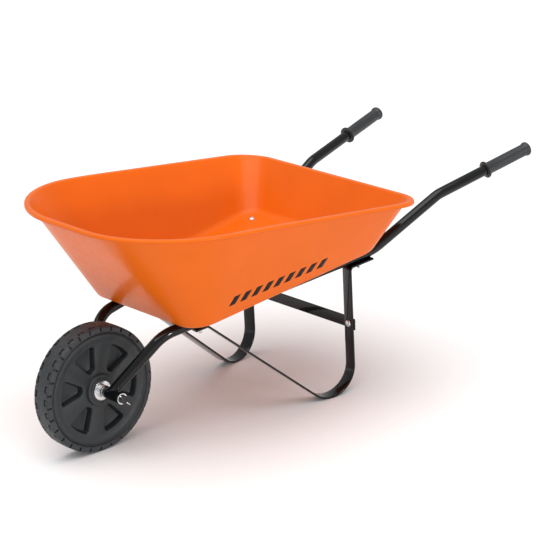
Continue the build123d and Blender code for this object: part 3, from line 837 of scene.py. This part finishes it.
class BARROW_OT_axle(bpy.types.Operator):
    """Build the axle with its washers and spacers"""

    bl_idname = "barrow.axle"
    bl_label = "Axle, washers and spacers"

    def execute(self, context):
        end, radius = AXLE_HALF_LENGTH, AXLE_RADIUS
        bm = lathe([(-end, 0), (-end, radius), (end, radius), (end, 0)], AXLE, ACROSS, 48)
        round_edges(bm, 1.0 * MM)
        finish_piece("axle_bar", bm, "frame", "plated_steel", dark_steel(), replaces=["axle"])
        for side, word in SIDES:
            for kind, low, high, edge in (
                ("washer", WASHER_LOW, WASHER_HIGH, 0.35 * MM),
                ("spacer", SPACER_LOW, SPACER_HIGH, 0.8 * MM),
            ):
                bm = collar(AXLE, ACROSS, (low.y, high.y), radius, high.z - AXLE.z, edge)
                mirror_side(bm, side)
                plated(f"{kind}_{word}", bm, f"axle_{kind}_{word}")
        return {"FINISHED"}


class BARROW_OT_cotters(bpy.types.Operator):
    """Build the split pins through the axle's ends"""

    bl_idname = "barrow.cotters"
    bl_label = "Cotter pins"

    def execute(self, context):
        low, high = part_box("cotter_pin_left")
        middle = Vector((AXLE.x, (low.y + high.y) / 2, AXLE.z))
        down = Vector((-sin(COTTER_TILT), 0, -cos(COTTER_TILT)))
        top = middle - down * (AXLE_RADIUS + EYE_GAP)
        foot = middle + down * (AXLE_RADIUS + SPLAY_GAP)
        splay = (ACROSS * 0.55 + down * 0.9).normalized()
        eye = top - down * COTTER_EYE
        seat = axes_at(eye + ACROSS * COTTER_EYE, down, ACROSS)
        wire = COTTER_WIRE / 2
        for side, word in SIDES:
            bm = bmesh.new()
            for hand in (1, -1):
                leg = ACROSS * (COTTER_WIRE * COTTER_SPACING) * hand
                tip = foot + leg + Vector((splay.x, splay.y * hand, splay.z)) * COTTER_TIP
                join(bm, rod((top + leg, foot + leg, tip), (COTTER_BEND,), wire, 10, 5))
            loop = bmesh.new()
            ring = circle(loop, wire, 10, seat, cap=False)
            full_turn(loop, loop.verts[:] + ring, eye, down.cross(ACROSS), 28)
            join(bm, loop)
            tidy(bm)
            mirror_side(bm, side)
            plated("split_pin_" + word, bm, "cotter_pin_" + word)
        return {"FINISHED"}


# ---- Wheel ----
RIM_RADIUS, RIM_INNER = 114 * MM, 95 * MM
FACE = HALF_WIDTH - 3 * MM
HUB_RADIUS = 32.5 * MM
POCKET_INNER, POCKET_OUTER, POCKET_CORNER = 37.5 * MM, 93 * MM, 8.5 * MM
SPOKE_FIRST = radians(40)
SPOKE_HALF_INNER, SPOKE_HALF_OUTER, SPOKE_OUTER_AT = 5 * MM, 20 * MM, 103 * MM
SECTOR_STEPS = 16


def wheel_spot(radius, angle, side=0.0):
    """A point on the wheel: angle from forward towards up, side along the axle."""
    return AXLE + Vector((radius * cos(angle), side, radius * sin(angle)))


def spoke_edge(radius):
    """Angle from a spoke's middle to its edge at a distance from the axle."""
    half = SPOKE_HALF_INNER + (SPOKE_HALF_OUTER - SPOKE_HALF_INNER) * radius / SPOKE_OUTER_AT
    return asin(half / radius)


def pocket_steps(depth):
    """Insets that round a pocket's mouth, slope its wall and round its floor."""
    return (
        (1.4 * MM, -0.4 * MM),
        (1.1 * MM, -1.2 * MM),
        (0.6 * MM, -1.8 * MM),
        (1.6 * MM, -(depth - 5.2 * MM)),
        (0.5 * MM, -1.2 * MM),
        (1.2 * MM, -0.5 * MM),
    )


def arc_pair(bm, inner, outer, first, pitch):
    """Two arcs on the wheel's face joined by two edges; an arc is radius, turn and steps."""
    ends = []
    for radius, turn, steps in (inner, outer):
        start = bm.verts.new(wheel_spot(radius, first + turn, FACE))
        made = bmesh.ops.spin(
            bm, geom=[start], cent=AXLE, axis=-ACROSS, angle=pitch - 2 * turn, steps=steps
        )
        ends.append((start, points_of(made["geom_last"])[0]))
    for pair in zip(*ends):
        bm.edges.new(pair)
    return [v for pair in ends for v in pair]


def web_sector(look, first):
    """A wheel face from one spoke's middle to the next one's, with its pocket."""
    pitch = 2 * pi / look.spokes
    bm = bmesh.new()
    inner = POCKET_INNER, spoke_edge(POCKET_INNER), 2
    outer = POCKET_OUTER, spoke_edge(POCKET_OUTER), 6
    bevel(bm, arc_pair(bm, inner, outer, first, pitch), POCKET_CORNER, 6, "VERTICES")
    bmesh.ops.contextual_create(bm, geom=bm.edges[:])
    arc_pair(bm, (HUB_RADIUS, 0, SECTOR_STEPS), (RIM_INNER, 0, SECTOR_STEPS), first, pitch)
    bmesh.ops.triangle_fill(bm, edges=bm.edges[:], use_beauty=True)
    pocket = max(bm.faces, key=lambda f: len(f.verts))
    bmesh.ops.recalc_face_normals(bm, faces=bm.faces)
    if pocket.normal.y < 0:
        bmesh.ops.reverse_faces(bm, faces=bm.faces)
    for thickness, depth in pocket_steps(look.pocket_depth):
        bmesh.ops.inset_individual(
            bm, faces=[pocket], thickness=thickness, depth=depth, use_even_offset=True
        )
    return bm


def join_both(target, shape):
    """Adds a shape and its mirror image to a bmesh."""
    other = shape.copy()
    flip(other)
    join(target, shape)
    join(target, other)


class BARROW_OT_disc(bpy.types.Operator):
    """Build the moulded wheel disc with its spokes and pockets"""

    bl_idname = "barrow.disc"
    bl_label = "Wheel disc"

    def execute(self, context):
        look = context.scene.barrow_wheel
        faces = bmesh.new()
        for turn in range(look.spokes):
            join(faces, web_sector(look, SPOKE_FIRST + turn * 2 * pi / look.spokes))
        tidy(faces, 5e-6)
        disc = bmesh.new()
        join_both(disc, faces)
        top = HUB_HALF_LENGTH
        hub = (
            (FACE, HUB_RADIUS),
            (FACE + 1.2 * MM, HUB_RADIUS - 0.5 * MM),
            (top - 1.3 * MM, HUB_RADIUS - 0.9 * MM),
            (top - 0.4 * MM, HUB_RADIUS - 1.5 * MM),
            (top, HUB_RADIUS - 2.6 * MM),
            (top, 25.5 * MM),
            (top - 0.7 * MM, 24.6 * MM),
            (top - 0.9 * MM, 22.8 * MM),
            (top - 0.6 * MM, 21.2 * MM),
            (top, 20.4 * MM),
            (top, AXLE_BORE),
            (0, AXLE_BORE),
        )
        rim = (
            (FACE, RIM_INNER),
            (FACE + 0.2 * MM, RIM_INNER + 1.2 * MM),
            (HALF_WIDTH - 1.1 * MM, RIM_RADIUS - 11.5 * MM),
            (HALF_WIDTH - 0.35 * MM, RIM_RADIUS - 8.5 * MM),
            (HALF_WIDTH - 0.9 * MM, RIM_RADIUS - 4.2 * MM),
            (HALF_WIDTH - 2.2 * MM, RIM_RADIUS - 2.6 * MM),
            (HALF_WIDTH - 1.5 * MM, RIM_RADIUS - 1.2 * MM),
            (HALF_WIDTH - 2.4 * MM, RIM_RADIUS - 0.2 * MM),
            (0, RIM_RADIUS - 0.2 * MM),
        )
        for profile in (hub, rim):
            ring = bmesh.new()
            spots = (wheel_spot(radius, SPOKE_FIRST, side) for side, radius in profile)
            line = [ring.verts.new(spot) for spot in spots]
            wire = [ring.edges.new(pair) for pair in zip(line, line[1:])]
            full_turn(ring, line + wire, AXLE, -ACROSS, look.spokes * SECTOR_STEPS)
            join_both(disc, ring)
        tidy(disc, 2e-5)
        name, look, node = "wheel_moulding", wheel_plastic(), "wheel_disc"
        finish_piece(name, disc, "wheel", "wheel_plastic", look, replaces=[node], sharp=28)
        return {"FINISHED"}


TREAD_COLUMNS, TREAD_ROWS = 12, 34
TREAD_FIRST = radians(9)
GROOVE_SLOPE = 0.01
SHOULDER_RADIUS, CROWN_DROP, SIDE_RADIUS = 4.5 * MM, 0.5 * MM, 115.5 * MM


def tread_profile(across):
    """Point and outward normal of the tyre's section; across runs from -1 to 1."""
    side = 1 if across >= 0 else -1
    flat, arc = HALF_WIDTH - SHOULDER_RADIUS, SHOULDER_RADIUS * pi / 2
    centre = WHEEL_RADIUS - CROWN_DROP - SHOULDER_RADIUS
    run = abs(across) * (flat + arc + (centre - SIDE_RADIUS))
    if run <= flat:
        return side * run, WHEEL_RADIUS - CROWN_DROP * (run / flat) ** 2, 0.0, 1.0
    if run <= flat + arc:
        turn = (run - flat) / SHOULDER_RADIUS
        y, r = flat + SHOULDER_RADIUS * sin(turn), centre + SHOULDER_RADIUS * cos(turn)
        return side * y, r, side * sin(turn), cos(turn)
    return side * HALF_WIDTH, centre - (run - flat - arc), side * 1.0, 0.0


def in_groove(spot):
    """Whether a cell of one tread pitch, given by its middle from -1 to 1, is in a groove."""
    column = int((spot.x + 1) / 2 * TREAD_COLUMNS)
    row = int((spot.y + 1) / 2 * TREAD_ROWS)
    half = TREAD_ROWS // 2
    if row >= half:
        step, shifted = row - half, column
    else:
        step, shifted = half - 1 - row, (column + TREAD_COLUMNS // 2) % TREAD_COLUMNS
    notch = shifted in (1, 2) and 10 <= step <= 15
    hook = (shifted in (4, 9) and 6 <= step <= 9) or (step in (6, 7) and 4 <= shifted <= 9)
    return notch or hook


class BARROW_OT_tyre(bpy.types.Operator):
    """Build the tyre with its tread blocks and hooked grooves"""

    bl_idname = "barrow.tyre"
    bl_label = "Tyre"

    def execute(self, context):
        look = context.scene.barrow_wheel
        pitch = 2 * pi / look.blocks
        bm = bmesh.new()
        bmesh.ops.create_grid(bm, x_segments=TREAD_COLUMNS, y_segments=TREAD_ROWS, size=1)
        cells = [face for face in bm.faces if in_groove(face.calc_center_median())]
        bmesh.ops.inset_region(
            bm, faces=cells, thickness=GROOVE_SLOPE, use_boundary=False, use_even_offset=True
        )
        lowered = {v for face in cells for v in face.verts}
        for v in bm.verts:
            depth = look.tread_depth if v in lowered else 0.0
            y, radius, out_y, out_r = tread_profile(max(-1.0, min(1.0, v.co.y)))
            turn = TREAD_FIRST + (v.co.x + 1) / 2 * pitch
            v.co = wheel_spot(radius - out_r * depth, turn, y - out_y * depth)
        bmesh.ops.spin(
            bm,
            geom=bm.verts[:] + bm.edges[:] + bm.faces[:],
            cent=AXLE,
            axis=-ACROSS,
            angle=2 * pi - pitch,
            steps=look.blocks - 1,
            use_duplicate=True,
        )
        bmesh.ops.remove_doubles(bm, verts=bm.verts, dist=3e-5)
        ring = [e for e in bm.edges if e.is_boundary]
        for side in (HALF_WIDTH - 2 * MM, 0):
            ring = push(bm, ring, Vector())
            for v in {v for e in ring for v in e.verts}:
                away = v.co - AXLE
                hand = 1 if away.y > 0 else -1
                away.y = 0
                v.co = AXLE + away.normalized() * RIM_RADIUS + ACROSS * hand * side
        tidy(bm, 1e-5)
        rubber = tyre_rubber()
        finish_piece("tread", bm, "wheel", "tyre_rubber", rubber, replaces=["tyre"], sharp=32)
        return {"FINISHED"}


# ---- Legs and brace ----
LEG_FRONT_END, LEG_FRONT_BEND = 170 * MM, 198 * MM
LEG_REAR, LEG_FLANGE_END = 534 * MM, 590 * MM
FOOT_RADIUS, LEG_BEND_RADIUS = 58 * MM, 9 * MM
BRACE_HEIGHT, BRACE_TAB, BRACE_PAST_LEG = 145.5 * MM, 34 * MM, 1 * MM
LEG_ALONG = Vector((-cos(PLAN_ANGLE), sin(PLAN_ANGLE), 0))
LEG_ACROSS = Vector((sin(PLAN_ANGLE), cos(PLAN_ANGLE), 0))
LEG_RUN = 1 / cos(PLAN_ANGLE)


def leg_points(thickness):
    """Corners of a leg strap's middle line, from its front tip to its rear tip."""
    drop = (TUBE_RADIUS + thickness / 2) / cos(FLOOR_TILT)

    def flat(back):
        return back * LEG_RUN, tube_height(back) - drop

    start_x, start_z = flat(LEG_FRONT_BEND)
    upright = LEG_REAR * LEG_RUN
    centre_x, centre_z = upright - FOOT_RADIUS, FOOT_RADIUS + thickness / 2
    reach = hypot(centre_x - start_x, start_z - centre_z)
    slope = atan2(start_z - centre_z, centre_x - start_x) + asin(FOOT_RADIUS / reach)
    foot = upright, start_z - tan(slope) * (upright - start_x)
    line = (flat(LEG_FRONT_END), flat(LEG_FRONT_BEND), foot, flat(LEG_REAR), flat(LEG_FLANGE_END))
    root = place(0, spread(0), 0)
    return [root + LEG_ALONG * x + UP * z for x, z in line]


class BARROW_OT_legs(bpy.types.Operator):
    """Build the two bent strap legs"""

    bl_idname = "barrow.legs"
    bl_label = "Legs"

    def execute(self, context):
        look = context.scene.barrow_frame
        points = leg_points(look.strap_thickness)
        radii = (LEG_BEND_RADIUS, FOOT_RADIUS, LEG_BEND_RADIUS)
        size = look.strap_width, look.strap_thickness, look.edge_round
        for side, word in SIDES:
            bm = flat_bar(points, radii, LEG_ACROSS, *size, 18)
            mirror_side(bm, side)
            enamelled("strap_leg_" + word, bm, "leg_" + word)
        return {"FINISHED"}


class BARROW_OT_brace(bpy.types.Operator):
    """Build the flat brace between the legs"""

    bl_idname = "barrow.brace"
    bl_label = "Leg brace"

    def execute(self, context):
        look = context.scene.barrow_frame
        hole = place(LEG_REAR, spread(LEG_REAR), BRACE_HEIGHT)
        tab = hole + LEG_ALONG * (look.strap_thickness + look.brace_thickness) / 2
        tip = tab + LEG_ACROSS * (look.strap_width / 2 + BRACE_PAST_LEG)
        knee = tab - LEG_ACROSS * (BRACE_TAB - look.strap_width / 2)
        points = (tip, knee, knee * FLIP, tip * FLIP)
        size = look.brace_width, look.brace_thickness, look.edge_round
        enamelled("brace_bar", flat_bar(points, (BRACE_TAB, BRACE_TAB), UP, *size, 10), "leg_brace")
        return {"FINISHED"}


# ---- Bolts, washers and nuts ----
BOLT_RADIUS, HEAD_RADIUS, HEAD_HEIGHT = 3.2 * MM, 7.5 * MM, 3.6 * MM
NUT_FLATS, NUT_HEIGHT = 11.1 * MM, 5.6 * MM
WASHER_RADIUS, WASHER_THICKNESS, HOLE_RADIUS = 7.0 * MM, 1.5 * MM, 3.5 * MM
STUD_PAST_NUT, STUD_CHAMFER = 3.5 * MM, 0.8 * MM
THREAD_PITCH, THREAD_DEPTH = 1.27 * MM, 0.35 * MM
FRONT_BOLT_BACK, REAR_BOLT_BACK = 184 * MM, 560 * MM
TRAY_SHEET, SEAT_GAP = 0.9 * MM, 0.1 * MM


def floor_seat(back, side, above):
    """A point over a tube, a distance above its centre line square to the tray's floor."""
    return place(back, side * spread(back), tube_height(back)) + FLOOR_NORMAL * above


def dome_bolt(seat, out, stack):
    """A dome-headed bolt; out points away from the head's seat, stack is what it clamps."""
    turns = [step * pi / 12 for step in range(6)]
    dome = [(HEAD_HEIGHT * sin(turn), HEAD_RADIUS * cos(turn) ** 0.8) for turn in turns]
    end = -(stack + WASHER_THICKNESS + NUT_HEIGHT + STUD_PAST_NUT)
    thread = []
    along = end + STUD_CHAMFER
    while along < -stack - WASHER_THICKNESS:
        thread.append((along, BOLT_RADIUS))
        thread.append((along + THREAD_PITCH / 2, BOLT_RADIUS - THREAD_DEPTH))
        along += THREAD_PITCH
    tip = (end, 0), (end, BOLT_RADIUS - STUD_CHAMFER)
    shank = (*tip, *thread, (-stack, BOLT_RADIUS), (0, BOLT_RADIUS))
    return lathe([*shank, *dome, (HEAD_HEIGHT, 0)], seat, out, 28)


def hex_nut(seat, out):
    """A hexagon nut with rounded corners on a seat, on its outward side."""
    bm = bmesh.new()
    radius = NUT_FLATS / 2 / cos(pi / 6)
    bmesh.ops.create_cone(
        bm,
        cap_ends=True,
        segments=6,
        radius1=radius,
        radius2=radius,
        depth=NUT_HEIGHT,
        matrix=axes_at(seat + out * NUT_HEIGHT / 2, out, ACROSS),
    )
    rims = [e for e in bm.edges if abs((e.verts[0].co - e.verts[1].co).dot(out)) < 1e-6]
    bevel(bm, rims, 0.9 * MM, 3)
    return bm


def fastener_set(seats, stack, names, nodes):
    """One group each of bolts, washers and nuts; a seat is a point and its outward way."""
    groups = [bmesh.new() for _ in names]
    rings = (0, WASHER_THICKNESS), HOLE_RADIUS, WASHER_RADIUS, 0.25 * MM, 32
    for seat, out in seats:
        join(groups[0], dome_bolt(seat, out, stack))
        join(groups[1], collar(seat - out * stack, -out, *rings))
        join(groups[2], hex_nut(seat - out * (stack + WASHER_THICKNESS), -out))
    for bm, name, node in zip(groups, names, nodes):
        plated(name, bm, node)


class BARROW_OT_fasteners(bpy.types.Operator):
    """Build the bolts, washers and nuts of tray and brace"""

    bl_idname = "barrow.fasteners"
    bl_label = "Bolts and nuts"

    def execute(self, context):
        look = context.scene.barrow_frame
        twist = WASHER_RADIUS * tan(FLOOR_TILT) * sin(PLAN_ANGLE)
        stack = TRAY_SHEET + SEAT_GAP + 2 * TUBE_RADIUS + look.strap_thickness + twist
        seats = [
            (floor_seat(back, side, TUBE_RADIUS + SEAT_GAP + TRAY_SHEET), FLOOR_NORMAL)
            for back in (FRONT_BOLT_BACK, REAR_BOLT_BACK)
            for side in (LEFT, RIGHT)
        ]
        fastener_set(
            seats,
            stack,
            ("dome_bolts", "bolt_washers", "hex_nuts"),
            ("tray_bolts", "tray_bolt_washers", "tray_bolt_nuts"),
        )
        hole = place(LEG_REAR, spread(LEG_REAR), BRACE_HEIGHT)
        hole -= LEG_ALONG * look.strap_thickness / 2
        seats = [(hole, -LEG_ALONG), (hole * FLIP, -LEG_ALONG * FLIP)]
        fastener_set(
            seats,
            look.strap_thickness + look.brace_thickness,
            ("brace_dome_bolts", "brace_washers", "brace_hex_nuts"),
            ("brace_bolts", "brace_bolt_washers", "brace_bolt_nuts"),
        )
        return {"FINISHED"}


# ---- Grips ----
class BARROW_OT_grips(bpy.types.Operator):
    """Build the two moulded hand grips"""

    bl_idname = "barrow.grips"
    bl_label = "Grips"

    def execute(self, context):
        look = context.scene.barrow_grips
        body, bulge, guard = look.body_radius, look.bulge_radius, look.guard_radius
        cap, end, bore = GRIP_END_RADIUS, GRIP_LENGTH, TUBE_RADIUS + SLIP
        profile = (
            (0, 0),
            (0, 6 * MM),
            (0.35 * MM, cap - 1.5 * MM),
            (1.4 * MM, cap + 1.4 * MM),
            (3.2 * MM, bulge - 0.7 * MM),
            (5.6 * MM, bulge),
            (8.0 * MM, bulge - 0.1 * MM),
            (10.2 * MM, bulge - 0.9 * MM),
            (12.4 * MM, body + 0.3 * MM),
            (15 * MM, body),
            (40 * MM, body + 0.15 * MM),
            (75 * MM, body + 0.1 * MM),
            (end - 9 * MM, body),
            (end - 6.6 * MM, body + 0.9 * MM),
            (end - 5.6 * MM, body + 2.6 * MM),
            (end - 5.2 * MM, guard - 1.4 * MM),
            (end - 4.4 * MM, guard - 0.3 * MM),
            (end - 3.2 * MM, guard),
            (end - 2.0 * MM, guard - 0.3 * MM),
            (end - 1.1 * MM, guard - 1.4 * MM),
            (end - 0.8 * MM, guard - 4.0 * MM),
            (end, bore + 1.2 * MM),
            (end, bore),
            (GRIP_CAP, bore),
            (GRIP_CAP, 0),
        )
        line = [(-along, radius) for along, radius in profile]
        for side, word in SIDES:
            bm = lathe(line, HANDLE_END, HANDLE_AHEAD, 64)
            mirror_side(bm, side)
            name, rubber, node = "hand_grip_" + word, grip_rubber(), "grip_" + word
            finish_piece(name, bm, "frame", "grip_rubber", rubber, replaces=[node], sharp=50)
        return {"FINISHED"}


# ---- Stage ----
CAMERA_PLACE = Vector((2.6875, 3.162, 1.6986))


def lamp(name, strength, spread, toward):
    """A far, soft light: strength, its apparent size in degrees and the way to it."""
    light = bpy.data.lights.new(name, "SUN")
    light.energy = strength
    light.angle = radians(spread)
    holder = bpy.data.objects.new(name, light)
    holder.rotation_mode = "QUATERNION"
    holder.rotation_quaternion = Vector(toward).to_track_quat("Z", "Y")
    bpy.context.scene.collection.objects.link(holder)


class BARROW_OT_stage(bpy.types.Operator):
    """Set up the floor, the soft lights and the camera"""

    bl_idname = "barrow.stage"
    bl_label = "Stage"

    def execute(self, context):
        look = context.scene.barrow_stage
        bm = bmesh.new()
        bmesh.ops.create_grid(bm, x_segments=1, y_segments=1, size=30)
        mesh = bpy.data.meshes.new("studio_floor")
        bm.to_mesh(mesh)
        bm.free()
        ground = Finish("studio floor", look.floor, 0.9)
        ground.shade(0.6, 1, 0.995, 1.0)
        mesh.materials.append(ground.material)
        floor = bpy.data.objects.new("studio_floor", mesh)
        context.scene.collection.objects.link(floor)

        world = bpy.data.worlds.new("studio")
        world.use_nodes = True
        sky = world.node_tree.nodes["Background"]
        sky.inputs["Color"].default_value = (1, 1, 1, 1)
        sky.inputs["Strength"].default_value = 0.6
        context.scene.world = world
        lamp("key", 2.2, 60, (0.9, 0.3, 4.0))
        lamp("edge", 0.8, 7, (-0.3, 3.0, 0.35))

        camera = bpy.data.cameras.new("camera")
        camera.lens = look.lens
        camera.sensor_width = 36
        camera.clip_end = 100
        holder = bpy.data.objects.new("camera", camera)
        turn, rise, roll = look.azimuth, look.elevation, look.roll
        back = Vector((sin(turn) * cos(rise), -cos(turn) * cos(rise), sin(rise)))
        right = (-back).cross(UP).normalized()
        above = right.cross(-back)
        right, above = right * cos(roll) + above * sin(roll), above * cos(roll) - right * sin(roll)
        facing = Matrix((right, above, back)).transposed().to_4x4()
        holder.matrix_world = Matrix.Translation(CAMERA_PLACE) @ facing
        context.scene.collection.objects.link(holder)
        context.scene.camera = holder
        context.scene.view_settings.view_transform = "Standard"
        return {"FINISHED"}


OPERATORS = (
    BARROW_OT_tray,
    BARROW_OT_stripes,
    BARROW_OT_tubes,
    BARROW_OT_sleeves,
    BARROW_OT_axle,
    BARROW_OT_cotters,
    BARROW_OT_disc,
    BARROW_OT_tyre,
    BARROW_OT_legs,
    BARROW_OT_brace,
    BARROW_OT_fasteners,
    BARROW_OT_grips,
    BARROW_OT_stage,
)


class BARROW_PT_pieces(bpy.types.Panel):
    """Lists the wheelbarrow's sizes and pieces"""

    bl_idname = "BARROW_PT_pieces"
    bl_label = "Wheelbarrow"
    bl_space_type = "VIEW_3D"
    bl_region_type = "UI"
    bl_category = "Wheelbarrow"

    def draw(self, context):
        for holder, group in SETTINGS:
            box = self.layout.box()
            for entry in group.__annotations__:
                box.prop(getattr(context.scene, holder), entry)
        for operator in OPERATORS:
            self.layout.operator(operator.bl_idname)


def register():
    for holder, group in SETTINGS:
        bpy.utils.register_class(group)
        setattr(bpy.types.Scene, holder, PointerProperty(type=group))
    for operator in OPERATORS:
        bpy.utils.register_class(operator)
    bpy.utils.register_class(BARROW_PT_pieces)


def unregister():
    bpy.utils.unregister_class(BARROW_PT_pieces)
    for operator in reversed(OPERATORS):
        bpy.utils.unregister_class(operator)
    for holder, group in reversed(SETTINGS):
        delattr(bpy.types.Scene, holder)
        bpy.utils.unregister_class(group)


def main():
    register()
    for operator in OPERATORS:
        group, call = operator.bl_idname.split(".")
        getattr(getattr(bpy.ops, group), call)()


if __name__ == "__main__":
    main()
